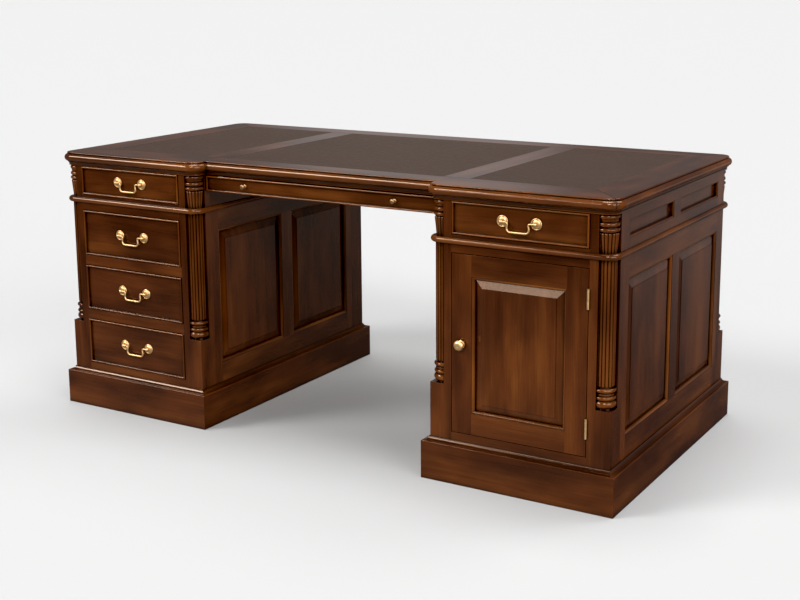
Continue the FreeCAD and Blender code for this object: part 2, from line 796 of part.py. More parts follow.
# ------------------------------------------------------------------ brass, made standing on Z = 0
def turned_knob(radius, height):
    """Mushroom knob on a small rose."""
    rose, neck = 0.8 * radius, 0.38 * radius
    under, swell = height - 0.95 * radius, height - 0.45 * radius
    return turned(section((0, 0), (rose, 0), (rose, 1.0), (0.8 * rose, 1.9, neck, 2.6),
                          (0.85 * neck, (2.6 + under) / 2, neck * 1.1, under),
                          (0.88 * radius, height - 0.78 * radius, radius, swell),
                          (0.75 * radius, height - 0.12 * radius, 0.2 * radius, height), (0, height)))


def build_handle_posts():
    """Two roses and two posts with blind bores for the bail, made upright on a face at y = 0."""
    bead = rose_radius - 3.4
    rose = turned(section((post_stem, 0), (rose_radius, 0), (rose_radius, 0.9),
                          (rose_radius - 1.5, 2.8, bead, 1.9),
                          (0.62 * rose_radius, 3.6, 0.4 * rose_radius, rose_height - 0.4),
                          (post_stem, rose_height)))
    stem = Part.makeCylinder(post_stem, pivot_out)
    head = Part.makeSphere(post_head, vec(0, 0, pivot_out))
    one = upright(stem.fuse(head).removeSplitter())
    bore = bail_radius + bore_clear
    parts = []
    for s in (-1, 1):
        tip = bail_tip + bore_clear
        hole = Part.makeCylinder(bore, post_head + tip, vec(s * tip, -pivot_out, 0), vec(-s, 0, 0))
        parts += [move(one.cut(hole), s * handle_pitch / 2, 0), move(upright(rose), s * handle_pitch / 2, 0)]
    return parts


def arc_about(cx, cz, y, radius, first, last):
    """Arc in a plane of constant y, between two angles in degrees."""
    ends = [vec(cx + radius * math.cos(math.radians(a)), y, cz + radius * math.sin(math.radians(a)))
            for a in (first, (first + last) / 2, last)]
    return Part.Arc(*ends).toShape()


def build_bail():
    """Swan-necked drop bail, hanging, with its pivot axis on X through y = -pivot_out, z = 0.

    Each half is a level neck, a bend down, a leg that spreads a little, and a bend to the bar.
    """
    y = -pivot_out
    tip = handle_pitch / 2 + bail_tip
    lean = math.radians(leg_slant)
    foot = bail_leg - bail_bend
    leg_low = vec(foot + bail_bend * math.cos(lean), y, bail_bend * (1 + math.sin(lean)) - bail_drop)
    leg_rise = (-leg_low.z - neck_bend * (1 + math.sin(lean))) / math.cos(lean)
    leg_high = vec(leg_low.x - leg_rise * math.sin(lean), y, leg_low.z + leg_rise * math.cos(lean))
    neck = leg_high.x + neck_bend * math.cos(lean)
    right = [Part.makeLine(vec(tip, y, 0), vec(neck, y, 0)),
             arc_about(neck, -neck_bend, y, neck_bend, 90, 180 + leg_slant),
             Part.makeLine(leg_high, leg_low),
             arc_about(foot, bail_bend - bail_drop, y, bail_bend, leg_slant, -90)]
    right.append(Part.makeLine(vec(foot, y, -bail_drop), vec(0, y, -bail_drop)))
    ring = Part.Wire(Part.makeCircle(bail_radius, vec(tip, y, 0), vec(1, 0, 0)))
    half = Part.Wire(right).makePipeShell([ring], True, False)
    return half.fuse(half.mirror(vec(0, 0), vec(1, 0))).removeSplitter()


# ------------------------------------------------------------------ drawers, made facing -Y
def bead_section():
    nose = bead_thick / 2
    return section((-bead_thick, -bead_let_in), (-bead_thick, bead_proud - nose),
                   (-nose, bead_proud, 0, bead_proud - nose), (0, -bead_let_in))


def drawer_box(half, z0, z1, side_low, side_high, depth):
    """Front with cock beads, sides, back and a bottom that slides in grooves."""
    face, back = front_back_set, front_back_set + front_thick
    b = bead_thick
    front = box(-half, half, bead_let_in, back, z0, z1).fuse(
        box(b - half, half - b, face, bead_let_in, z0 + b, z1 - b)).removeSplitter()
    floor_low = side_low + bottom_rise
    floor_high = floor_low + drawer_bottom
    inside = half - drawer_side
    bottom = box(-inside - groove_depth, inside + groove_depth, back - groove_depth, depth,
                 floor_low, floor_high)
    sides = [box(s * inside, s * half, back, depth, side_low, side_high).cut(bottom) for s in (-1, 1)]
    rear = box(-inside, inside, depth - drawer_side, depth, floor_high, side_high - back_drop)
    beads = [upright(p) for p in moulding(rectangle(-half, half, z0, z1), bead_section())]
    return [front.cut(bottom), bottom, rear] + sides + beads


def drawers():
    """Name, x, end, face line, half width, front low and high, opening low and high, and handle."""
    wide = open_width / 2 - front_gap
    rows = ["lower", "middle", "upper"]
    found = []
    for end, prefix in ((-1, "front"), (1, "rear")):
        for name, side in PEDESTALS.items():
            found.append(("%s_%s_frieze" % (prefix, name), side * middle_x, end, body_y, wide,
                          frieze_rail_top + front_gap, bed_low - frieze_top_gap,
                          frieze_rail_top, bed_low, "bail"))
            if drawer_end(side) == end:
                for row, low in zip(rows, drawer_lows()):
                    found.append(("%s_%s" % (prefix, row), side * middle_x, end, body_y, wide,
                                  low + front_gap, low + drawer_height - front_gap,
                                  low, low + drawer_height, "bail"))
        found.append(("%s_centre_frieze" % prefix, 0, end, centre_y if end < 0 else body_y,
                      inner_x - front_gap, centre_front_low, centre_front_high,
                      centre_run, bed_low, "knobs"))
    return found


def build_drawer(name, x, end, face, half, z0, z1, low, high, handle, posts, bail):
    depth = face - divider_thick / 2 - drawer_back_gap
    pieces = drawer_box(half, z0, z1, low + run_clear, high - side_drop, depth)
    save(name + "_drawer", [face_end(p, x, face, end) for p in pieces])
    middle = (z0 + z1) / 2
    if handle == "bail":
        pivot = middle + handle_rise
        fittings = [move(p, 0, front_back_set, pivot) for p in posts]
        save(name + "_handle_posts", [face_end(p, x, face, end) for p in fittings])
        save(name + "_bail", [face_end(move(bail, 0, front_back_set, pivot), x, face, end)])
    else:
        knob = upright(turned_knob(drawer_knob_radius, drawer_knob_length))
        knobs = [move(knob, s * drawer_knob_x, front_back_set, middle) for s in (-1, 1)]
        save(name + "_knobs", [face_end(p, x, face, end) for p in knobs])


def main():
    build_top()
    build_frieze()
    build_columns()
    for name, side in PEDESTALS.items():
        build_pedestal(name, side)
    build_side_panels()
    build_boards()
    build_runners()
    build_plinths()
    build_hinges()
    for side in (-1, 1):
        build_door("front" if drawer_end(side) > 0 else "rear", side)
    posts, bail = build_handle_posts(), build_bail()
    for drawer in drawers():
        build_drawer(*drawer, posts, bail)


main()
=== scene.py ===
# %% [markdown]
# # A partners desk in mahogany, leather and brass
#
# The desk is a frame of real boards: posts, rails, panels, drawers and doors, each one a closed
# solid.  This lesson dresses that frame.  It gives every board its own run of grain, lays leather
# in the top, and draws the bent brass handles from formulas.  Lengths are in metres, X runs along
# the desk, -Y is the front and +Z is up.

# %% Load the joined-up desk
import json
import math

import bpy
import numpy as np
from mathutils import Matrix, Vector


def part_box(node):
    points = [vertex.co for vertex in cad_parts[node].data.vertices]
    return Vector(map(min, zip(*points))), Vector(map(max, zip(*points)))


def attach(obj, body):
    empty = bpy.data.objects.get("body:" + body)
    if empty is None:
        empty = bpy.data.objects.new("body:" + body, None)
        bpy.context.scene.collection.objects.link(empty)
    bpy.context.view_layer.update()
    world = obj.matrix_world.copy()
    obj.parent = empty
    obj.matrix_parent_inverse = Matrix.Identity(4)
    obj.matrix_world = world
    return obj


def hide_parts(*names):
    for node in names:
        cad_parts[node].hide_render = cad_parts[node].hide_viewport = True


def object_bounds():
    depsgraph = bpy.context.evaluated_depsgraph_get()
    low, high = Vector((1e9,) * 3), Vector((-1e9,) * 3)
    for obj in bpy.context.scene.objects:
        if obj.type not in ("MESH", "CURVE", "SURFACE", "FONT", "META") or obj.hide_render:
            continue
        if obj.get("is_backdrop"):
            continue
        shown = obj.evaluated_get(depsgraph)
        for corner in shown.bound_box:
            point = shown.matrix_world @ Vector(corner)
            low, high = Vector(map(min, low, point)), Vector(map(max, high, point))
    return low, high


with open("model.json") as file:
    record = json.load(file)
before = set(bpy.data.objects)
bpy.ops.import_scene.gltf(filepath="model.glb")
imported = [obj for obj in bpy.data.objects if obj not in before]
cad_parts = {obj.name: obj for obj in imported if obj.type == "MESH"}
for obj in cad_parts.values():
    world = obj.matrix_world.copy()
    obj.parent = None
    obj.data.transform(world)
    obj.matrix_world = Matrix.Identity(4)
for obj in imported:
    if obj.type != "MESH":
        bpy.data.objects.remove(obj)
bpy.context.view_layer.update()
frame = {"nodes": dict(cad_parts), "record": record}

nodes = frame["nodes"]

# %% [markdown]
# ## Which triangles make one board
#
# A sub-part such as a pedestal frame arrives as one mesh that holds a dozen boards.  Wood only looks
# right when the grain turns at every joint, so the boards have to be told apart.  They could be
# named one by one, but the mesh already knows: a closed solid uses each of its edges exactly twice,
# so walking through the triangles in order, a board ends where no edge is left open.

# %% Tell the boards apart
MICRONS = 1e6


def mesh_arrays(mesh):
    """Corner points and triangles of a mesh as whole arrays."""
    points = np.empty(len(mesh.vertices) * 3, np.float32)
    mesh.vertices.foreach_get("co", points)
    corners = np.empty(len(mesh.loops), np.int32)
    mesh.loops.foreach_get("vertex_index", corners)
    return points.reshape(-1, 3), corners.reshape(-1, 3)


def edge_names(points, triangles):
    """One number for each side of each triangle, the same for all sides between the same two places.

    The number is the lower place times the count of points plus the higher place.  A side of no
    length gets -1.
    """
    rounded = np.round(points.astype(np.float64) * MICRONS).astype(np.int64)
    place = np.unique(rounded, axis=0, return_inverse=True)[1].reshape(-1)
    start = place[triangles]
    end = np.roll(start, -1, axis=1)
    key = np.minimum(start, end) * len(points) + np.maximum(start, end)
    return np.where(start == end, -1, key)


def board_of_each_triangle(points, triangles):
    """Number of the closed solid that each triangle belongs to.

    Uses of one edge pair up in order: the first opens it, the second closes it.  A running sum of
    opens less closes is zero where a solid is complete.
    """
    key = edge_names(points, triangles).ravel()
    owner = np.repeat(np.arange(len(triangles)), 3)
    real = key >= 0
    key, owner = key[real], owner[real]
    order = np.lexsort((owner, key))
    key, owner = key[order], owner[order]
    index = np.arange(len(key))
    fresh = np.r_[True, key[1:] != key[:-1]]
    rank = index - np.maximum.accumulate(np.where(fresh, index, 0))
    opens = rank % 2 == 0
    paired = ~opens | np.r_[key[1:] == key[:-1], False]
    change = np.zeros(len(triangles), np.int64)
    np.add.at(change, owner[opens & paired], 1)
    np.add.at(change, owner[~opens], -1)
    complete = np.cumsum(change) == 0
    return np.r_[0, np.cumsum(complete)[:-1]]


top_points, top_triangles = mesh_arrays(nodes["desk_top_border"].data)
top_board = board_of_each_triangle(top_points, top_triangles)
print("boards round the top:", int(top_board.max()) + 1)

# %% [markdown]
# ## Rounds and hollows
#
# Polishing wears the stain thin on every round, such as a bead, a reed or the nose of the top, and
# leaves it thick in the hollows.  The colour is made paler on the rounds, for that wear and as a
# painted highlight, and darker in the hollows, for the thick stain and as painted shade.  A flat
# colour misses that.  It could be painted by hand, but the mesh knows it already: neighbouring
# triangles on a round bend away from each other, and in a hollow they bend together.

# %% Find the rounds and hollows
TIGHT_ROUND = 0.012
ARRIS_DEGREES = 40


def roundness_of_each_triangle(points, triangles, board):
    """From -1 in a tight hollow through 0 on a flat to +1 on a tight round.

    Where two triangles of one board meet at an angle t, the one of height h above their shared side
    curves by t / h.  That is multiplied by the radius of a tight round and cut at 1.  Angles over
    that of an arris are sharp edges and don't count.
    """
    key = edge_names(points, triangles)
    key = np.where(key < 0, -1, key * (board.max() + 1) + board[:, None]).ravel()
    order = np.argsort(key, kind="stable")
    order = order[key[order] >= 0]
    same = key[order][1:] == key[order][:-1]
    one, other = order[:-1][same], order[1:][same]
    one, other = np.r_[one, other], np.r_[other, one]
    corner = points[triangles].astype(np.float64)
    normal = np.cross(corner[:, 1] - corner[:, 0], corner[:, 2] - corner[:, 0])
    area = np.linalg.norm(normal, axis=1)
    normal /= np.maximum(area, 1e-12)[:, None]
    side = np.linalg.norm(np.roll(corner, -1, axis=1) - corner, axis=2).ravel()
    middle = corner.mean(1)
    mine, its = one // 3, other // 3
    angle = np.arccos(np.clip((normal[mine] * normal[its]).sum(1), -1, 1))
    angle[angle > math.radians(ARRIS_DEGREES)] = 0
    away = -np.sign((normal[mine] * (middle[its] - middle[mine])).sum(1))
    height = area[mine] / np.maximum(side[one], 1e-9)
    bend = TIGHT_ROUND * away * angle / np.maximum(height, 1e-6)
    most, least = np.zeros(len(triangles)), np.zeros(len(triangles))
    np.maximum.at(most, mine, bend)
    np.minimum.at(least, mine, bend)
    return np.clip(most + least, -1, 1)


top_bend = roundness_of_each_triangle(top_points, top_triangles, top_board)
print("triangles of the top on a round:", int((top_bend > 0.2).sum()))

# %% [markdown]
# ## A coordinate that runs with the grain
#
# A joiner cuts a board so that its grain runs along its longest side, and that side is easy to
# measure.  Raised panels and columns stand upright, apart from blocks under 5 cm high, and the
# boards with a half-round edge turn their grain at the ends, where the edge is glued on.
#
# Unwrapped maps could carry the wood too, but every board would need its own.  Three numbers at each
# point do the same: the first along the board, the other two across it.

# %% Which way the grain runs
AROUND_THE_EDGE = {"astragal_boards"}
UPRIGHT = {"raised_side_panels", "upper_reeded_columns", "lower_reeded_columns"}
SHORTEST_UPRIGHT = 0.05


def grain_of_board(place, name):
    """(along, across, through) the board for each of its points, measured from its middle."""
    low, high = place.min(0), place.max(0)
    size = high - low
    middle = place - (low + high) / 2
    if name in AROUND_THE_EDGE:
        far = np.abs(middle) / size
        at_an_end = far[:, 0] > far[:, 1]
        return np.where(at_an_end[:, None], middle[:, [1, 0, 2]], middle)
    along = int(np.argmax(size))
    if name in UPRIGHT and size[2] > SHORTEST_UPRIGHT:
        along = 2
    return np.roll(middle, -along, axis=1)


front_of_top = grain_of_board(top_points[np.unique(top_triangles[top_board == 0])], "desk_top_border")
print("first board of the top along, across, through:", np.round(np.ptp(front_of_top, axis=0), 3))

# %% [markdown]
# ## Grain and tone for every board
#
# Every board starts somewhere else in the same endless plank, by a random shift of its grain
# coordinate.  It also gets a "tone", because no two boards out of a stack have quite the same
# colour.  Some kinds of board get a paler tone on top.  On the frieze drawers, the columns, the
# mouldings and the thin beads that paler tone is painted light, the warm glow that light gives
# them; on the other kinds it only sets how bright each kind comes out.  A new material for each
# board would do that as well.  Attributes of the mesh need only one, and they follow the board
# when a drawer opens.

# %% Lay the grain along every board
luck = np.random.default_rng(1821)
# Paler tones by kind and for thin boards: on frieze drawers, columns, mouldings and beads, painted
# light.
THIN_BOARD, PALER_WHEN_THIN = 0.012, 0.8
PLANK_REACH = 20
PALER = {"door_panel": 1.5, "frieze_drawer": 2.6, "side_panels": 0.2, "column": 0.8,
         "plinths": 0.4, "door_frame": 0.6, "moulding": 1.0, "pedestal_frame": 1.3}


def store(mesh, name, kind, domain, values):
    """Keep one row of numbers for each point or face as an attribute of the mesh."""
    field = "vector" if kind == "FLOAT_VECTOR" else "value"
    kept = mesh.attributes.new(name, kind, domain)
    kept.data.foreach_set(field, values.astype(np.float32).ravel())


def lay_grain(piece, name):
    """Write "grain", "tone" and "roundness" on a wooden piece, and return each triangle's board.

    A board's grain coordinate starts at a random place of an endless plank.  Its tone is a random
    number from -1 to 1, plus something for the kinds of board that are paler.
    """
    points, triangles = mesh_arrays(piece.data)
    board = board_of_each_triangle(points, triangles)
    grain = np.zeros_like(points)
    tone = np.zeros(len(points), np.float32)
    paler = sum(extra for word, extra in PALER.items() if word in name)
    for number in range(board.max() + 1):
        mine = np.unique(triangles[board == number])
        start = luck.uniform(-PLANK_REACH, PLANK_REACH, 3)
        grain[mine] = grain_of_board(points[mine], name) + start
        thin = np.sort(np.ptp(points[mine], axis=0))[1] < THIN_BOARD
        tone[mine] = luck.uniform(-1, 1) + (PALER_WHEN_THIN if thin else 0.0) + paler
    store(piece.data, "grain", "FLOAT_VECTOR", "POINT", grain)
    store(piece.data, "tone", "FLOAT", "POINT", tone)
    wear_highlight_and_shade = roundness_of_each_triangle(points, triangles, board)
    store(piece.data, "roundness", "FLOAT", "FACE", wear_highlight_and_shade)
    return board


def is_brass(name):
    return any(word in name for word in ("bail", "posts", "knob", "hinge"))


wooden = sorted(n for n in nodes if not is_brass(n) and not n.startswith("leather"))
boards = {name: lay_grain(nodes[name], name) for name in wooden}
print("boards with their own grain:", sum(int(b.max()) + 1 for b in boards.values()))

# %% [markdown]
# ## Mahogany under polish
#
# Stained mahogany shows three scales of pattern: broad light and dark figure, fine streaks a few
# millimetres wide, and pores, which are short dark dashes.  All three are the same 3-D noise read
# through a coordinate that is squeezed across the board and stretched along it.
#
# The colour is then worked as a polisher works it.  Stain is rubbed thin on the rounds and left
# thick in the hollows, and it gathers in every corner; the same colour also paints a highlight on
# the rounds and shade in the hollows and corners.  Each edge is rubbed to a small round, which the
# light catches.  The polish itself could be a second, clear coat in the shader.  The shader's own
# gloss with a warm tint does the same for less, because the lacquer is thin and a little amber.

# %% Nodes, links and noise
def add(tree, kind, **settings):
    """A shader node with some of its settings."""
    made = tree.nodes.new(kind)
    for key, value in settings.items():
        setattr(made, key, value)
    return made


def join(tree, source, target):
    """A link from an output to an input."""
    tree.links.new(source, target)


def new_material(name):
    """An empty material, its node tree and the node that shades it."""
    made = bpy.data.materials.new(name)
    made.use_nodes = True
    return made, made.node_tree, made.node_tree.nodes["Principled BSDF"]


def attribute(tree, name, output):
    """What a mesh has stored under a name."""
    return add(tree, "ShaderNodeAttribute", attribute_name=name).outputs[output]


def noise(tree, coordinate, scale, detail=3.0, rough=0.55):
    """Noise between 0 and 1, with so many bumps in a metre along each axis."""
    stretched = add(tree, "ShaderNodeVectorMath", operation="MULTIPLY")
    join(tree, coordinate, stretched.inputs[0])
    stretched.inputs[1].default_value = scale
    made = add(tree, "ShaderNodeTexNoise", noise_dimensions="3D")
    join(tree, stretched.outputs[0], made.inputs["Vector"])
    made.inputs["Scale"].default_value = 1.0
    made.inputs["Detail"].default_value = detail
    made.inputs["Roughness"].default_value = rough
    return made.outputs["Fac"]


print("helpers for nodes:", [f.__name__ for f in (add, join, new_material, attribute, noise)])

# %% [markdown]
# ## Sums inside a material
#
# The distance to a joint, or a share of stain, is worked out by a chain of small maths nodes.  One
# helper makes such a node and takes sockets and plain numbers alike.  The other carries a range of
# values onto another range, with soft ends, so that nothing in a finish starts abruptly.

# %% Sums and ranges
def sum_of(tree, a, b, operation="ADD"):
    """Arithmetic on two values, where either may be a plain number."""
    made = add(tree, "ShaderNodeMath", operation=operation)
    for socket, value in zip(made.inputs, (a, b)):
        if isinstance(value, (int, float)):
            socket.default_value = value
        else:
            join(tree, value, socket)
    return made.outputs[0]


def spread(tree, value, low, high, to_low=0.0, to_high=1.0):
    """Carry the range low..high onto another range, smoothly and clamped."""
    made = add(tree, "ShaderNodeMapRange", interpolation_type="SMOOTHSTEP")
    join(tree, value, made.inputs["Value"])
    numbers = {"From Min": low, "From Max": high, "To Min": to_low, "To Max": to_high}
    for key, number in numbers.items():
        made.inputs[key].default_value = number
    return made.outputs[0]


print("helpers for values:", [f.__name__ for f in (sum_of, spread)])

# %% [markdown]
# ## Mixing colours
#
# A ramp gives each value of a pattern its colour.  Stain, glaze and creases are one colour laid over
# another by some share, which Blender's mix node does.  That node keeps separate sockets of the same
# name for numbers and for colours, so `blended` picks the colour ones by their type.

# %% Colours from values
WHITE = (1.0, 1.0, 1.0)


def ramp(tree, value, stops):
    """A colour for each value, from a list of (position, colour)."""
    made = add(tree, "ShaderNodeValToRGB")
    join(tree, value, made.inputs["Fac"])
    band = made.color_ramp
    while len(band.elements) < len(stops):
        band.elements.new(0.5)
    for element, (position, colour) in zip(band.elements, stops):
        element.position = position
        element.color = (*colour, 1.0)
    return made.outputs["Color"]


def blended(tree, share, first, second, kind="MIX"):
    """Two colours mixed by a share; a share or a colour may be a plain value."""
    made = add(tree, "ShaderNodeMix", data_type="RGBA", blend_type=kind)
    factor = made.inputs[0]
    first_socket, second_socket = [s for s in made.inputs if s.type == "RGBA"]
    for socket, value in ((factor, share), (first_socket, first), (second_socket, second)):
        if isinstance(value, float):
            socket.default_value = value
        elif isinstance(value, tuple):
            socket.default_value = (*value, 1.0)
        else:
            join(tree, value, socket)
    return [s for s in made.outputs if s.type == "RGBA"][0]


def tinted(tree, colour, share, at_none, at_all):
    """The colour times a tint that runs from one value to another as the share runs from 0 to 1."""
    return blended(tree, 1.0, colour, blended(tree, share, at_none, at_all), "MULTIPLY")


print("helpers for colours:", [f.__name__ for f in (ramp, blended, tinted)])

# %% [markdown]
# ## Joints of the top
#
# The border of the top is a frame of boards, mitred at its corners, with the two cross boards butted
# between front and back.  Their joints are hairlines filled with dark polish.  A hairline has no
# thickness worth modelling, so it is drawn in the finish, by the distance to the line of each joint.

# %% Hairlines where the boards of the top meet
LEATHER_LOW, LEATHER_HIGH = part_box("leather_left")[0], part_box("leather_right")[1]
TOP_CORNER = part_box("desk_top_border")[1]


def distance_to_joint(tree):
    """Distance from a joint of the top, in metres.

    With out = |x| - x of the leathers' end: past the end, it is the distance to the two mitres,
    each a line from the leathers' corner to the corner of the top; before it, to the two butt joints,
    at the y of the leathers' front and back.
    """
    part = add(tree, "ShaderNodeSeparateXYZ")
    join(tree, add(tree, "ShaderNodeTexCoord").outputs["Object"], part.inputs[0])
    out = sum_of(tree, sum_of(tree, part.outputs["X"], 0.0, "ABSOLUTE"), -LEATHER_HIGH[0])
    mitres, butts = [], []
    for edge, outer in ((LEATHER_LOW[1], -TOP_CORNER[1]), (LEATHER_HIGH[1], TOP_CORNER[1])):
        beyond = sum_of(tree, part.outputs["Y"], -edge)
        run = Vector((TOP_CORNER[0] - LEATHER_HIGH[0], outer - edge)).normalized()
        sideways = sum_of(tree, out, run.y, "MULTIPLY")
        lengthways = sum_of(tree, beyond, run.x, "MULTIPLY")
        off = sum_of(tree, sideways, lengthways, "SUBTRACT")
        mitres.append(sum_of(tree, off, 0.0, "ABSOLUTE"))
        butts.append(sum_of(tree, beyond, 0.0, "ABSOLUTE"))
    mitre = sum_of(tree, mitres[0], mitres[1], "MINIMUM")
    butt = sum_of(tree, butts[0], butts[1], "MINIMUM")
    inside = sum_of(tree, out, -1.0, "MULTIPLY")
    to_mitre = sum_of(tree, mitre, inside, "MAXIMUM")
    to_butt = sum_of(tree, butt, out, "MAXIMUM")
    return sum_of(tree, to_mitre, to_butt, "MINIMUM")


print("a mitre runs from", [round(v, 4) for v in LEATHER_HIGH[:2]])
print("to", [round(v, 4) for v in TOP_CORNER[:2]])

# %% [markdown]
# ## Figure, streaks and pores
#
# Along a board the pattern changes slowly and across it fast, so each noise has few bumps in a metre
# along the grain and many across.  The coordinate itself is pushed sideways by a slow noise first,
# because no tree grows quite straight.

# %% Pattern of the wood
SWAY = (1.3, 7.0, 7.0)
FIGURE = (1.2, 16.0, 16.0)
STREAKS = (5.0, 240.0, 240.0)
PORES = (30.0, 1500.0, 1500.0)
CLOUDS = (4.0, 11.0, 11.0)
FIGURE_SHARE, STREAK_SHARE = 0.76, 0.24
PORE_SHADE = 0.45


def swaying(tree, grain):
    """The grain coordinate plus up to 5 cm of slow noise across the board and through it."""
    made = add(tree, "ShaderNodeVectorMath", operation="MULTIPLY_ADD")
    join(tree, noise(tree, grain, SWAY, 2.0), made.inputs[0])
    made.inputs[1].default_value = (0.0, 0.05, 0.05)
    join(tree, grain, made.inputs[2])
    return made.outputs[0]


def bare_wood(tree, fibre, streaks, pore, dark, middle, light):
    """Figure and streaks, added by their shares, give the colour.  Pores are dark dashes in it."""
    figure = noise(tree, fibre, FIGURE, 4.0, 0.6)
    broad = sum_of(tree, figure, FIGURE_SHARE, "MULTIPLY")
    fine = sum_of(tree, streaks, STREAK_SHARE, "MULTIPLY")
    colour = ramp(tree, sum_of(tree, broad, fine), [(0.32, dark), (0.5, middle), (0.68, light)])
    return blended(tree, pore, colour, tuple(PORE_SHADE * c for c in dark))


print("bumps in a metre across a board:", FIGURE[1], STREAKS[1], PORES[1])

# %% [markdown]
# ## Stain, wear, painted highlight and painted shade
#
# Each tint below multiplies the colour.  Boards differ in tone, and stain dries in clouds.  The
# rounds are made paler, for stain rubbed thin and as a painted highlight; the hollows darker, for
# stain left thick and as painted shade; and the corners darker still, for a dark glazing and as
# painted shade.  Ambient occlusion finds the corners, also those between two separate boards,
# which no single mesh knows about.

# %% Work the colour as a polisher does, with painted highlight and shade
TONE_STEP = (0.13, 0.15, 0.10)
CORNER_REACH = 0.016


def toned(tree, colour):
    """The colour times 1 + tone * step."""
    lift = add(tree, "ShaderNodeVectorMath", operation="MULTIPLY_ADD")
    join(tree, attribute(tree, "tone", "Fac"), lift.inputs[0])
    lift.inputs[1].default_value = TONE_STEP
    lift.inputs[2].default_value = WHITE
    scaled = add(tree, "ShaderNodeVectorMath", operation="MULTIPLY")
    join(tree, colour, scaled.inputs[0])
    join(tree, lift.outputs[0], scaled.inputs[1])
    return scaled.outputs[0]


def stained_and_shaded(tree, colour, fibre, glaze_and_shade):
    """Clouds, wear and stain, with a painted highlight on rounds and painted shade in hollows and
    corners.
    """
    cloud = spread(tree, noise(tree, fibre, CLOUDS, 2.0), 0.3, 0.7)
    colour = tinted(tree, colour, cloud, (0.62, 0.60, 0.64), (1.42, 1.46, 1.28))
    # Paler on the rounds: worn stain and a painted highlight.  Darker in hollows: thick stain and
    # painted shade.
    wear_highlight_and_shade = attribute(tree, "roundness", "Fac")
    colour = tinted(tree, colour, spread(tree, wear_highlight_and_shade, 0.0, 1.0), WHITE, (1.45, 1.55, 1.3))
    colour = tinted(tree, colour, spread(tree, wear_highlight_and_shade, -1.0, 0.0), (0.5, 0.5, 0.5), WHITE)
    # Ambient occlusion darkens the corners: dark glazing, and painted shade where the corners lie in
    # shade.
    corner = add(tree, "ShaderNodeAmbientOcclusion", samples=4)
    corner.inputs["Distance"].default_value = CORNER_REACH
    open_share = spread(tree, corner.outputs["AO"], 0.42, 0.92)
    return tinted(tree, colour, open_share, (glaze_and_shade, glaze_and_shade, glaze_and_shade), WHITE)


print("glaze gathers within", CORNER_REACH * 1000, "mm of a corner")

# %% [markdown]
# ## One recipe for every board
#
# All the polished boards share one material and differ only in their "grain", "tone" and
# "roundness" attributes, so a change of stain reaches the whole desk at once.  The border of the top
# takes the same recipe with its joints drawn in.  Linings take it pale, with hardly any gloss.
#
# A rubbed edge could be a real bevel on every board.  The bevel node only turns the shading normal
# near an edge, which costs no faces and still catches the light.

# %% Mahogany
RUBBED_EDGE = 0.0007
AMBER = (1.0, 0.70, 0.50, 1.0)
JOINT_HALF, JOINT_FADE = 0.0009, 0.0016
DARK_POLISH = (0.0005, 0.0003, 0.0002)
DULL_IN_JOINT = 0.9


def mahogany(name, dark, middle, light, glaze_and_shade, bend, gloss, joint=None):
    """Stained mahogany.

    After the colours comes how dark the corners get, by glazing and painted shade; bend is the
    refractive index of the polish, gloss its roughness.
    joint works out the distance to the nearest joint that is drawn in the finish.
    """
    made, tree, wood = new_material(name)
    fibre = swaying(tree, attribute(tree, "grain", "Vector"))
    streaks = noise(tree, fibre, STREAKS, 3.0, 0.6)
    pore = spread(tree, noise(tree, fibre, PORES, 2.0, 0.5), 0.58, 0.70, 0.0, 0.35)
    colour = bare_wood(tree, fibre, streaks, pore, dark, middle, light)
    colour = stained_and_shaded(tree, toned(tree, colour), fibre, glaze_and_shade)
    rough = spread(tree, streaks, 0.3, 0.7, gloss - 0.02, gloss + 0.04)
    if joint:
        away = spread(tree, joint(tree), JOINT_HALF, JOINT_FADE)
        colour = blended(tree, away, DARK_POLISH, colour)
        polish = sum_of(tree, away, DULL_IN_JOINT, "MULTIPLY")
        rough = sum_of(tree, rough, sum_of(tree, DULL_IN_JOINT, polish, "SUBTRACT"))
    join(tree, colour, wood.inputs["Base Color"])
    join(tree, rough, wood.inputs["Roughness"])
    wood.inputs["IOR"].default_value = bend
    wood.inputs["Specular Tint"].default_value = AMBER
    rubbed = add(tree, "ShaderNodeBevel", samples=4)
    rubbed.inputs["Radius"].default_value = RUBBED_EDGE
    relief = add(tree, "ShaderNodeBump")
    relief.inputs["Strength"].default_value = 0.12
    relief.inputs["Distance"].default_value = 0.0004
    join(tree, sum_of(tree, streaks, pore, "SUBTRACT"), relief.inputs["Height"])
    join(tree, rubbed.outputs[0], relief.inputs["Normal"])
    join(tree, relief.outputs[0], wood.inputs["Normal"])
    return made


STAIN = ((0.030, 0.0066, 0.0021), (0.050, 0.0126, 0.0036), (0.078, 0.0228, 0.0056))
BARE = ((0.16, 0.085, 0.04), (0.26, 0.15, 0.08), (0.36, 0.23, 0.13))
polished = mahogany("polished_mahogany", *STAIN, 0.04, 1.5, 0.12)
jointed = mahogany("jointed_top_mahogany", *STAIN, 0.04, 1.5, 0.12, distance_to_joint)
plain_wood = mahogany("drawer_lining_wood", *BARE, 0.55, 1.3, 0.55)
print("finishes:", [finish.name for finish in (polished, jointed, plain_wood)])

# %% [markdown]
# ## Polished faces and plain linings
#
# Only what shows is polished.  Drawer sides, backs and bottoms, the runners and the boards inside a
# pedestal are left as plain, paler wood.  The linings could be taken out as objects of their own.  A
# second material on the same mesh, given out board by board, keeps the drawer in one piece.  Its
# first board is the front and the last four are the cock beads round it, so the linings are the
# boards between.

# %% Give every wooden piece its finish
LINING_NODES = {"drawer_runners", "pedestal_boards", "top_ground_panels"}
BEADS = 4


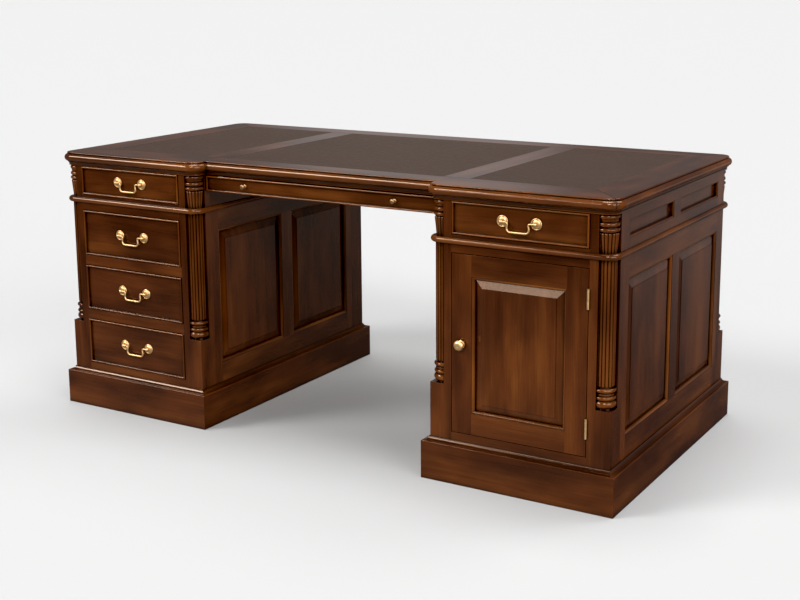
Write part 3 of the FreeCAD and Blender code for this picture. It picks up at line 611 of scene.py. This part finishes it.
def finish_wood(name):
    """Polished outside, plain inside: the linings of a drawer get its second material."""
    mesh = nodes[name].data
    mesh.materials.clear()
    outside = jointed if name == "desk_top_border" else polished
    mesh.materials.append(plain_wood if name in LINING_NODES else outside)
    if name.endswith("_drawer"):
        mesh.materials.append(plain_wood)
        board = boards[name]
        lining = (board > 0) & (board <= board.max() - BEADS)
        mesh.polygons.foreach_set("material_index", lining.astype(np.int32))


for name in wooden:
    finish_wood(name)
print("wooden pieces finished:", len(wooden))

# %% [markdown]
# ## Leather
#
# Writing leather is a thin hide, glued down between the boards of the border.  Its grain is a net of
# shallow creases round pebbles a millimetre or two across, and the dye is a little cloudy.  Modelled
# creases would take millions of faces.  The borders between the cells of a Voronoi pattern have the
# same net: they press in the surface, and they darken the colour as painted shade in the creases.

# %% Leather
PEBBLES = 620.0


def leather_hide(name):
    """Olive brown hide with a net of creases."""
    made, tree, hide = new_material(name)
    place = add(tree, "ShaderNodeTexCoord").outputs["Object"]
    pebbles = add(tree, "ShaderNodeTexVoronoi", feature="DISTANCE_TO_EDGE")
    join(tree, place, pebbles.inputs["Vector"])
    pebbles.inputs["Scale"].default_value = PEBBLES
    clouds = noise(tree, place, (3.5, 5.0, 5.0), 3.0, 0.6)
    mottle = noise(tree, place, (60.0, 60.0, 60.0), 3.0, 0.6)
    cloudy = sum_of(tree, clouds, 0.6, "MULTIPLY")
    shade = sum_of(tree, cloudy, sum_of(tree, mottle, 0.4, "MULTIPLY"))
    colour = ramp(tree, shade, [(0.3, (0.036, 0.019, 0.012)), (0.7, (0.051, 0.029, 0.018))])
    crease = spread(tree, pebbles.outputs["Distance"], 0.0, 0.25)
    # The darker colour along the creases is painted shade.
    colour = blended(tree, crease, (0.030, 0.016, 0.010), colour)
    join(tree, colour, hide.inputs["Base Color"])
    join(tree, spread(tree, mottle, 0.3, 0.7, 0.42, 0.55), hide.inputs["Roughness"])
    hide.inputs["Specular IOR Level"].default_value = 0.3
    relief = add(tree, "ShaderNodeBump")
    relief.inputs["Strength"].default_value = 0.35
    relief.inputs["Distance"].default_value = 0.0003
    join(tree, crease, relief.inputs["Height"])
    join(tree, relief.outputs[0], hide.inputs["Normal"])
    return made


hide = leather_hide("olive_brown_leather")
leathers = [name for name in nodes if name.startswith("leather")]
for name in leathers:
    nodes[name].data.materials.clear()
    nodes[name].data.materials.append(hide)
print("leather on:", leathers)

# %% [markdown]
# ## Brass
#
# The brass is lacquered, so it stays warm and fairly bright, with a soft spread to its highlights
# and a little brown left in the grooves where a polishing wheel does not reach.  A plain metal colour
# would look new and cast.  Ambient occlusion finds the grooves without a painted mask.  The little
# knobs of the centre drawers are given a darker brass, about half as bright.

# %% Brass
GROOVE_REACH = 0.004
TARNISH = (0.20, 0.11, 0.04)


def worked_brass(name, dull, bright):
    """Brass whose colour wanders between a dull and a bright one, brown in its grooves."""
    made, tree, metal = new_material(name)
    place = add(tree, "ShaderNodeTexCoord").outputs["Object"]
    cast = noise(tree, place, (220.0, 220.0, 220.0), 3.0, 0.6)
    colour = ramp(tree, cast, [(0.3, dull), (0.7, bright)])
    corner = add(tree, "ShaderNodeAmbientOcclusion", samples=4)
    corner.inputs["Distance"].default_value = GROOVE_REACH
    groove = spread(tree, corner.outputs["AO"], 0.3, 0.9)
    colour = blended(tree, groove, TARNISH, colour)
    join(tree, colour, metal.inputs["Base Color"])
    metal.inputs["Metallic"].default_value = 1.0
    join(tree, spread(tree, cast, 0.3, 0.7, 0.40, 0.50), metal.inputs["Roughness"])
    return made


brass = worked_brass("lacquered_brass", (0.86, 0.53, 0.235), (0.98, 0.65, 0.32))
# The knobs of the centre drawers get a darker brass, about half as bright.
darker_brass = worked_brass("darker_knob_brass", (0.40, 0.22, 0.10), (0.50, 0.29, 0.14))
brasswork = [name for name in nodes if is_brass(name)]
for name in brasswork:
    nodes[name].data.materials.clear()
    nodes[name].data.materials.append(darker_brass if "centre" in name else brass)
print("pieces of brass:", len(brasswork))

# %% [markdown]
# ## Surfaces as whole arrays
#
# The handles' bails, the leathers and the small screws are easier to write as formulas than to model
# by hand.  Each one is a stack of closed rings: row after row of points, every row once round the
# shape.  The first helper closes the two ends of the stack with a pole.  The second measures the
# volume inside, which comes out negative where the faces look inwards, and such a shell is turned.

# %% A stack of rings as a closed shell
def shell(rings):
    """Points and faces of a closed skin from an array of rings (rows, around, 3).

    Corner (row, k) is number row * around + k.  Each face joins k to k + 1 and one row to the next,
    and a triangle fan joins each end ring to a pole in its middle.
    """
    rows, around = rings.shape[:2]
    points = np.vstack([rings.reshape(-1, 3), rings[0].mean(0), rings[-1].mean(0)])
    row = np.arange(rows - 1)[:, None] * around
    k = np.arange(around)[None, :]
    after = (k + 1) % around
    sides = np.stack([row + k, row + after, row + after + around, row + k + around], -1)
    sides = sides.reshape(-1, 4)
    k, after = k.ravel(), after.ravel()
    first = np.stack([after, k, np.full(around, rows * around)], -1)
    last = (rows - 1) * around
    second = np.stack([last + k, last + after, np.full(around, rows * around + 1)], -1)
    return points, sides, np.vstack([first, second])


def volume_of(points, triangles):
    """Six times the volume inside, as the sum of a . (b x c) over the triangles."""
    a, b, c = (points[triangles[:, i]] for i in range(3))
    return float((a * np.cross(b, c)).sum())


trial = shell(np.zeros((2, 3, 3)))
print("two rings of three points make", len(trial[1]), "sides and", len(trial[2]), "end triangles")

# %% [markdown]
# ## From shells to a piece
#
# A piece may hold several shells, such as the two nuts of one handle.  It rides on a body of the
# desk, and it is made of one material.

# %% Shells into a piece that rides on the desk
def piece_of(name, shells, material, slot_name, body, crease=40.0):
    """One mesh from several closed shells, faces outwards, riding on a body of the desk."""
    points, faces, start = [], [], 0
    for own, sides, fans in shells:
        triangles = np.vstack([sides[:, [0, 1, 2]], sides[:, [0, 2, 3]], fans])
        if volume_of(own - own.mean(0), triangles) < 0:
            sides, fans = sides[:, ::-1], fans[:, ::-1]
        points.append(own)
        faces += (sides + start).tolist() + (fans + start).tolist()
        start += len(own)
    mesh = bpy.data.meshes.new(name)
    mesh.from_pydata(np.vstack(points).tolist(), [], faces)
    mesh.polygons.foreach_set("use_smooth", np.ones(len(faces), bool))
    mesh.set_sharp_from_angle(angle=math.radians(crease))
    mesh.materials.append(material)
    made = bpy.data.objects.new(name, mesh)
    bpy.context.scene.collection.objects.link(made)
    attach(made, body)
    return made


print("helper for pieces:", piece_of.__name__)

# %% [markdown]
# ## Swan-neck bails
#
# A bail is a brass rod bent cold: a level neck that turns in its post, a bend down, a leg that leans
# a little outwards, and a wide bend to the bar that the fingers pull.  The maker files it thinner
# towards the necks, so the bar is a third thicker than the ends.  A curve with a bevel could draw
# the rod, but carrying a circle along the path as an array gives the swelling directly.

# %% Bend the rod
def line_to(start, end, count):
    """Straight run: start plus t times (end - start), t from 0 to 1, without its last point."""
    t = np.linspace(0, 1, count, endpoint=False)[:, None]
    return np.array(start) + t * (np.array(end) - np.array(start))


def arc_round(centre, radius, first, last, count):
    """Points at centre plus radius times (cos, sin) of an angle in degrees, without the last."""
    angle = np.radians(np.linspace(first, last, count, endpoint=False))
    return np.array(centre) + radius * np.stack([np.cos(angle), np.sin(angle)], -1)


NECK_TIP, NECK_BEND, NECK_BEND_RADIUS = 48.6, (33.74, -5.0), 5.0
LEG_TOP, LEG_FOOT, LEAN = (28.79, -5.70), (29.91, -13.68), 8
BAR_BEND, BAR_BEND_RADIUS, BAR_LEVEL = (20.5, -15.0), 9.5, -24.5


def bail_path():
    """Middle line of a hanging bail as (x, z) in millimetres from the point between its posts."""
    half = np.vstack([
        line_to((NECK_TIP, 0), (NECK_BEND[0], 0), 8),
        arc_round(NECK_BEND, NECK_BEND_RADIUS, 90, 180 + LEAN, 12),
        line_to(LEG_TOP, LEG_FOOT, 5),
        arc_round(BAR_BEND, BAR_BEND_RADIUS, LEAN, -90, 14),
        line_to((BAR_BEND[0], BAR_LEVEL), (0, BAR_LEVEL), 9),
        [[0.0, BAR_LEVEL]],
    ])
    return np.vstack([half, half[-2::-1] * (-1, 1)])


path = bail_path()
run = np.r_[0, np.cumsum(np.linalg.norm(np.diff(path, axis=0), axis=1))]
share = 2 * run / run[-1] - 1
NECK_RADIUS, SWELLING, TIP_RADIUS = 2.15, 0.65, 1.2
rod = NECK_RADIUS + SWELLING * np.cos(share * np.pi / 2) ** 2
rod[[0, -1]] = TIP_RADIUS
print("length of the rod in a bail:", round(float(run[-1]), 1), "mm")

# %% [markdown]
# ## The rod round its middle line
#
# At every point of the path stands a circle of the rod's own radius, square to the path.  The circles
# are the rings of a shell, and each bail rides on the body that swings between its posts.

# %% Carry a circle along the path
def bail_rings(pivot, around=18):
    """Circle of the rod's radius in the plane square to the path, at every point of the path.

    point = path + radius * (cos(a) * normal + sin(a) * y), the normal being the tangent turned 90
    degrees in the plane of the bail.
    """
    tangent = np.gradient(path, axis=0)
    tangent /= np.linalg.norm(tangent, axis=1)[:, None]
    angle = np.linspace(0, 2 * np.pi, around, endpoint=False)
    reach = rod[:, None] * np.cos(angle)
    rings = np.empty((len(path), around, 3))
    rings[..., 0] = path[:, None, 0] - tangent[:, None, 1] * reach
    rings[..., 1] = rod[:, None] * np.sin(angle)
    rings[..., 2] = path[:, None, 1] + tangent[:, None, 0] * reach
    return rings / 1000 + pivot


pivots = {j["child"]: np.array(j["pos_m"]) for j in frame["record"]["behaviour"]["joints"]
          if j["name"].endswith("bail_swing")}
for body, pivot in pivots.items():
    bail = piece_of(body + "_rod", [shell(bail_rings(pivot))], brass, "brass", body)
    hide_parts(body)
print("bails:", len(pivots), "faces in each:", len(bail.data.polygons))

# %% [markdown]
# ## Nuts inside the drawers
#
# Each post ends in a thread that goes through the drawer front.  A small square nut holds it inside,
# where it shows as soon as the drawer is pulled out.  A cube and a cylinder would do for it.  One
# stack of rings, square on the nut and round on the thread, gives both with eased corners.

# %% Square nuts and thread ends
def rounded_square(angle, half, power=10.0):
    """Radius of a square with eased corners: half / (|cos a|^p + |sin a|^p)^(1/p)."""
    return half / (np.abs(np.cos(angle)) ** power + np.abs(np.sin(angle)) ** power) ** (1 / power)


def nut_rings(centre, inwards, around=32):
    """Rings along Y: the nut is square, then the rings turn round for the thread and its end.

    The share w of roundness is 0 on the nut and 1 on the thread:
    radius = (1 - w) * square + w * circle.
    """
    depth = np.array([-0.4, 0.0, 0.3, 3.2, 3.5, 3.5, 3.5, 6.2, 6.6])
    half = np.array([4.5, 4.5, 4.8, 4.8, 4.4, 2.4, 1.9, 1.9, 1.4])
    w = np.array([0, 0, 0, 0, 0.1, 1, 1, 1, 1])
    angle = np.linspace(0, 2 * np.pi, around, endpoint=False)
    radius = (1 - w)[:, None] * rounded_square(angle, half[:, None]) + w[:, None] * half[:, None]
    rings = np.empty((len(depth), around, 3))
    rings[..., 0] = radius * np.cos(angle)
    rings[..., 1] = inwards * depth[:, None]
    rings[..., 2] = radius * np.sin(angle)
    return rings / 1000 + centre


FRONT_THICK, PIVOT_OUT, HALF_PITCH = 0.019, 0.010, 0.046
for body, pivot in pivots.items():
    inwards = -np.sign(pivot[1])
    seat = pivot + np.array([0, inwards * (PIVOT_OUT + FRONT_THICK), 0])
    nuts = [shell(nut_rings(seat + (side * HALF_PITCH, 0, 0), inwards)) for side in (-1, 1)]
    drawer = body.replace("_bail", "_drawer")
    piece_of(body.replace("_bail", "_nuts"), nuts, brass, "brass", drawer)
print("drawers with nuts behind their handles:", len(pivots))

# %% [markdown]
# ## Hinge screws
#
# The leaves of the door hinges are let into the wood and held by three countersunk screws each.  A
# screw head is a low dome with a slot.  The slot could be cut out of a disc, which leaves ragged
# faces.  Cut into chords that run along the slot, the head becomes a stack of rings too, and each
# wall of the slot falls between two chords.

# %% Screw heads with slots
DOME, SLOT_DEPTH, HALF_SLOT, BELOW = 0.3, 0.6, 0.35, -0.7


def screw_rings(centre, out, turn, radius=2.5, columns=10):
    """Ring for each chord v across the head: over the dome one way, and back below.

    A chord has half length sqrt(R^2 - v^2).  The height is DOME (1 - (u^2 + v^2) / R^2), less
    SLOT_DEPTH where |v| is less than half the slot's width.
    """
    half = np.array([0.13, 0.15, 0.25, 0.5, 0.75, 0.9, 0.98])
    v = np.r_[-half[::-1], half][:, None] * radius
    u = np.linspace(-1, 1, columns) * np.sqrt(radius ** 2 - v ** 2)
    dome = DOME * (1 - (u ** 2 + v ** 2) / radius ** 2)
    dome = dome - np.where(np.abs(v) < HALF_SLOT, SLOT_DEPTH, 0.0)
    u = np.hstack([u, u[:, ::-1]])
    height = np.hstack([dome, np.full_like(dome, BELOW)])
    v = np.broadcast_to(v, u.shape)
    rings = np.empty((*u.shape, 3))
    rings[..., 0] = out * height
    rings[..., 1] = u * math.cos(turn) - v * math.sin(turn)
    rings[..., 2] = u * math.sin(turn) + v * math.cos(turn)
    return rings / 1000 + centre


DOOR_LEAF_X, POST_LEAF_X, LEAF_MIDDLE_Y = 0.8174, 0.8190, -0.4145
LEAF_BOTTOMS = (0.183, 0.508)
SCREWS_UP_A_LEAF = (0.009, 0.025, 0.041)


def hinge_screws(leaf_x, out, body, name):
    """Screws in two leaves of one door; the rear door is the front one turned half round."""
    half_turn = -1 if name.startswith("rear") else 1
    shells = []
    for bottom in LEAF_BOTTOMS:
        for up in SCREWS_UP_A_LEAF:
            at = np.array([half_turn * leaf_x, half_turn * LEAF_MIDDLE_Y, bottom + up])
            shells.append(shell(screw_rings(at, half_turn * out, luck.uniform(-0.6, 0.6))))
    return piece_of(name, shells, brass, "brass", body, crease=30.0)


for end in ("front", "rear"):
    hinge_screws(DOOR_LEAF_X, 1, end + "_door", end + "_door_leaf_screws")
    hinge_screws(POST_LEAF_X, -1, "carcase", end + "_post_leaf_screws")
print("screws in each pair of leaves:", len(LEAF_BOTTOMS) * len(SCREWS_UP_A_LEAF))

# %% [markdown]
# ## Leathers laid in the top
#
# A hide is pared thin at its edges before it is glued, so it rolls down to the wood and leaves a
# fine dark line round each panel.  A bevelled box would have that edge, but a dead flat sheen.  Here
# the surface is a height over the distance to the nearest edge, and the hide is never quite flat: a
# slow swell of a few hundredths of a millimetre keeps its sheen alive.

# %% Lay the leathers
ROLL, ROLL_WIDTH, SWELL = 0.45, 0.7, 0.03


def spaced(low, high, fine, count):
    """Stations from low to high, crowded near both ends by the fine distances."""
    fine = np.array(fine)
    middle = np.linspace(low + fine[-1], high - fine[-1], count)[1:-1]
    return np.r_[low + fine, middle, high - fine[::-1]]


def leather_rings(low, high):
    """Ring for each station along X: the top from front to back, then the flat underside.

    Height is the top less ROLL * exp(-d / ROLL_WIDTH), d being the distance to the nearest edge in
    millimetres, less a swell that runs as a product of two sines.
    """
    fine = (0.0, 0.2, 0.5, 0.9, 1.5, 2.5, 4.0)
    low, high = low * 1000, high * 1000
    x = spaced(low[0], high[0], fine, 40)[:, None]
    y = spaced(low[1], high[1], fine, 40)[None, :]
    edge = np.minimum(np.minimum(x - x[0], x[-1] - x), np.minimum(y - y[:, :1], y[:, -1:] - y))
    swell = SWELL * (1 + np.sin(x / 47) * np.sin(y / 39 + x / 130))
    height = high[2] - ROLL * np.exp(-edge / ROLL_WIDTH) - swell
    x = np.broadcast_to(x, height.shape)
    y = np.broadcast_to(y, height.shape)
    underside = np.full_like(height, low[2])
    rings = np.stack([np.hstack([x, x]), np.hstack([y, y[:, ::-1]]),
                      np.hstack([height, underside])], -1)
    return rings / 1000


for name in ("leather_left", "leather_centre", "leather_right"):
    low, high = (np.array(corner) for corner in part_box(name))
    skin = piece_of(name.replace("leather", "hide"), [shell(leather_rings(low, high))], hide,
                    "leather", "carcase", crease=60.0)
    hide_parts(name)
print("leathers laid, faces in the last one:", len(skin.data.polygons))

# %% [markdown]
# ## Camera
#
# The desk is seen from the front right, from a little above the top.  A fairly long lens keeps its
# sides nearly parallel.  A camera can be turned by angles, but three axes leave no doubt about the
# order of the turns: right, down and ahead, each as it runs through the room.

# %% Camera
FRAME_WIDTH, LENS_PIXELS, SHIFT_PIXELS = 800, 1322.05, -75
SENSOR_WIDTH = 36.0
STANDS_AT = (2.02382, -3.27970, 1.30275)
right = Vector((0.855583, 0.517614, -0.007280))
down = Vector((0.091223, -0.164599, -0.982133))
ahead = Vector((-0.509564, 0.839633, -0.188046))
camera = bpy.data.objects.new("camera", bpy.data.cameras.new("camera"))
bpy.context.scene.collection.objects.link(camera)
turn = Matrix((right, -down, -ahead)).transposed()
camera.matrix_world = Matrix.Translation(STANDS_AT) @ turn.to_4x4()
camera.data.sensor_width = SENSOR_WIDTH
camera.data.lens = LENS_PIXELS / FRAME_WIDTH * SENSOR_WIDTH
camera.data.shift_y = SHIFT_PIXELS / FRAME_WIDTH
bpy.context.scene.camera = camera
print("camera stands at", [round(v, 2) for v in STANDS_AT], "lens", round(camera.data.lens, 1))

# %% [markdown]
# ## Floor
#
# The floor is one matt square, so wide that its edge is out of sight.  It is left out of
# reflections, because polished mahogany would mirror it as a grey haze over every dark face.

# %% Floor
def floor_plane(name, reach):
    """A flat square: x and y are two parameters from -1 to 1 times the reach, and z is zero."""
    u, v = np.meshgrid((-1.0, 1.0), (-1.0, 1.0))
    points = np.stack([u * reach, v * reach, u * 0], -1).reshape(-1, 3)
    mesh = bpy.data.meshes.new(name)
    mesh.from_pydata(points.tolist(), [], [(0, 1, 3, 2)])
    made = bpy.data.objects.new(name, mesh)
    bpy.context.scene.collection.objects.link(made)
    return made


FLOOR_REACH, FLOOR_GREY = 200.0, (0.42, 0.42, 0.42, 1.0)
floor = floor_plane("studio_floor", FLOOR_REACH)
floor.visible_glossy = False
pale, tree, paint = new_material("pale_floor")
paint.inputs["Base Color"].default_value = FLOOR_GREY
paint.inputs["Roughness"].default_value = 0.9
paint.inputs["Specular IOR Level"].default_value = 0.1
floor.data.materials.append(pale)
floor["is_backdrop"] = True
print("floor reaches", FLOOR_REACH, "m each way")

# %% [markdown]
# ## World
#
# Dark polished wood shows above all what it mirrors, so the world round the desk is drawn for its
# reflections.  It is dim nearly everywhere.  Under the horizon it stands in for the floor: pale near
# the horizon behind the desk, which gives the ends their sheen, and pale only far down in front.  A
# screen low behind the desk gives the top its own sheen.  The camera sees none of that, only a plain
# pale backdrop.  A picture of a studio could light it too, but drawn bands can be put exactly where
# the polish needs them.
#
# Each band is written as the two directions between which it changes, and its level at each.

# %% World
def between(tree, share, first, second):
    """A number that runs from the first to the second as the share runs from 0 to 1."""
    made = add(tree, "ShaderNodeMix", data_type="FLOAT")
    sockets = [s for s in made.inputs if s.type == "VALUE"]
    for socket, value in zip(sockets, (share, first, second)):
        if isinstance(value, float):
            socket.default_value = value
        else:
            join(tree, value, socket)
    return made.outputs[0]


BACKDROP, OVERHEAD_LEVEL, IN_FRONT_LEVEL = 0.80, 0.05, 0.04
GROUND_BEHIND = (-0.36, -0.06, 0.05, 0.33)
GROUND_BEFORE = (-0.34, -0.14, 0.30, 0.02)
SCREEN, SCREEN_X = (0.0010, 0.014, 0.33, 0.135), -0.5
scene = bpy.context.scene
scene.world = bpy.data.worlds.new("studio")
scene.world.use_nodes = True
tree = scene.world.node_tree
direction = add(tree, "ShaderNodeTexCoord").outputs["Generated"]
part = add(tree, "ShaderNodeSeparateXYZ")
join(tree, direction, part.inputs[0])
behind = spread(tree, part.outputs["Y"], -0.5, 0.5)
under_behind = spread(tree, part.outputs["Z"], *GROUND_BEHIND)
under_before = spread(tree, part.outputs["Z"], *GROUND_BEFORE)
under = between(tree, behind, under_before, under_behind)
off_screen = sum_of(tree, sum_of(tree, part.outputs["X"], -SCREEN_X), 2.0, "POWER")
screen = spread(tree, off_screen, *SCREEN)
low_down = between(tree, behind, IN_FRONT_LEVEL, screen)
over = between(tree, spread(tree, part.outputs["Z"], 0.15, 0.6), low_down, OVERHEAD_LEVEL)
level = between(tree, spread(tree, part.outputs["Z"], -0.02, 0.04), under, over)
seen = add(tree, "ShaderNodeLightPath").outputs["Is Camera Ray"]
sky = tree.nodes["Background"]
sky.inputs["Color"].default_value = (*WHITE, 1.0)
join(tree, between(tree, seen, level, BACKDROP), sky.inputs["Strength"])
print("world:", scene.world.name, "with", len(tree.nodes), "nodes")

# %% [markdown]
# ## Lamps
#
# The light itself comes from distant soft lamps: a large one overhead, two high soft boxes in
# front, whose small size keeps the highlights on the nose and the beads thin, a low lamp for the
# bevels of the doors, a wide window at the right that reaches into the kneehole, and a back light.
# The soft boxes stand high, so that a low view from behind doesn't see them in the polish of the
# top.  Area lamps could do the same.  A sun with a wide angle is as soft, and lights both ends of a
# long desk alike.

# %% Lamps
def far_light(name, towards, angle, energy):
    """A distant soft light; towards is the direction in which it stands."""
    made = bpy.data.objects.new(name, bpy.data.lights.new(name, "SUN"))
    scene.collection.objects.link(made)
    made.data.energy = energy
    made.data.angle = math.radians(angle)
    made.rotation_mode = "QUATERNION"
    made.rotation_quaternion = Vector(towards).to_track_quat("Z", "Y")
    return made


far_light("overhead_light", (-0.08, 0.10, 1.0), 32, 2.6)
far_light("left_soft_box", (-0.60, -0.56, 0.57), 22, 2.0)
far_light("low_lamp", (-0.43, -0.843, 0.326), 12, 0.22)
far_light("right_soft_box", (0.33, -0.72, 0.61), 20, 1.5)
far_light("right_window", (0.90, -0.36, 0.34), 44, 1.8)
far_light("back_light", (0.30, 0.50, 0.85), 26, 0.9)

# %% [markdown]
# ## Tone of the picture
#
# The exposure sets the pale floor just under white.  A small black level takes the haze off the
# darkest lines, as the tone of a print does.

# %% Tone
BLACK = 0.0036
scene.view_settings.view_transform = "Standard"
scene.view_settings.exposure = 0.12
scene.view_settings.use_curve_mapping = True
scene.view_settings.curve_mapping.black_level = (BLACK, BLACK, BLACK)
scene.view_settings.curve_mapping.update()
print("exposure:", round(scene.view_settings.exposure, 2))

# %% [markdown]
# ## How large is the dressed desk?
#
# Leathers, nuts and screws are thin and small, so the dressed desk should be no larger than the
# bare frame.  The box of the dressed desk is measured and printed.

# %% Measure
low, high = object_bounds()
print("visual size:", [round(v, 3) for v in high - low])
